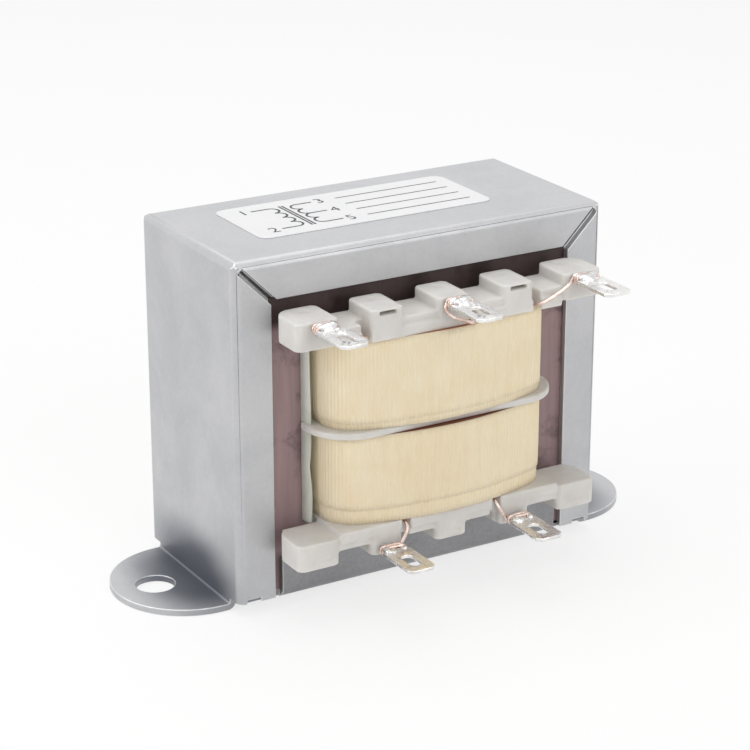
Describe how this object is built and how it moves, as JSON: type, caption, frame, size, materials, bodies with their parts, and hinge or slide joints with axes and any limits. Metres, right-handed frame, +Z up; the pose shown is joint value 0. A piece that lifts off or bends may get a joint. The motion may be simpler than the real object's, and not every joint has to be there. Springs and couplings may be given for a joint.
{
  "type": "laminated chassis transformer",
  "caption": "Laminated chassis transformer: steel channel frame with mounting feet, sectioned bobbin with taped coils, and solder lugs on its front rails.",
  "frame": {"origin": "midway between the two mounting holes, on the plane that the feet stand on", "axes": "+X from foot to foot, -Y towards the solder lugs, +Z up out of the mounting surface"},
  "size_m": [0.0834, 0.0535, 0.0511],
  "materials": {
    "zinc_steel": "zinc-plated, soft mottle",
    "silicon_steel": "dull purple-brown varnished plate",
    "nylon": "natural translucent white",
    "magnet_wire": "enamelled copper",
    "cloth_tape": "cream woven tape",
    "insulating_paper": "pale insulating paper",
    "tinned_brass": "tinned",
    "tinned_wire": "tinned copper",
    "label_paper": "white gloss label"
  },
  "bodies": {
    "root": {"channel_frame": "zinc_steel", "bottom_channel": "zinc_steel", "front_e_plate": "silicon_steel", "front_i_strip": "silicon_steel", "rear_e_plate": "silicon_steel", "rear_i_strip": "silicon_steel", "e_plates_yoke_up": "silicon_steel", "e_plates_yoke_down": "silicon_steel", "i_strips_top": "silicon_steel", "i_strips_bottom": "silicon_steel", "bobbin": "nylon", "primary_winding": "magnet_wire", "secondary_winding": "magnet_wire", "primary_tape": "cloth_tape", "secondary_tape": "cloth_tape", "left_window_strip": "insulating_paper", "right_window_strip": "insulating_paper", "secondary_start_lug": "tinned_brass", "secondary_tap_lug": "tinned_brass", "secondary_end_lug": "tinned_brass", "primary_start_lug": "tinned_brass", "primary_end_lug": "tinned_brass", "secondary_start_lead": "tinned_wire", "secondary_tap_lead": "tinned_wire", "secondary_end_lead": "tinned_wire", "primary_start_lead": "tinned_wire", "primary_end_lead": "tinned_wire", "label": "label_paper"}
  },
  "joints": []
}
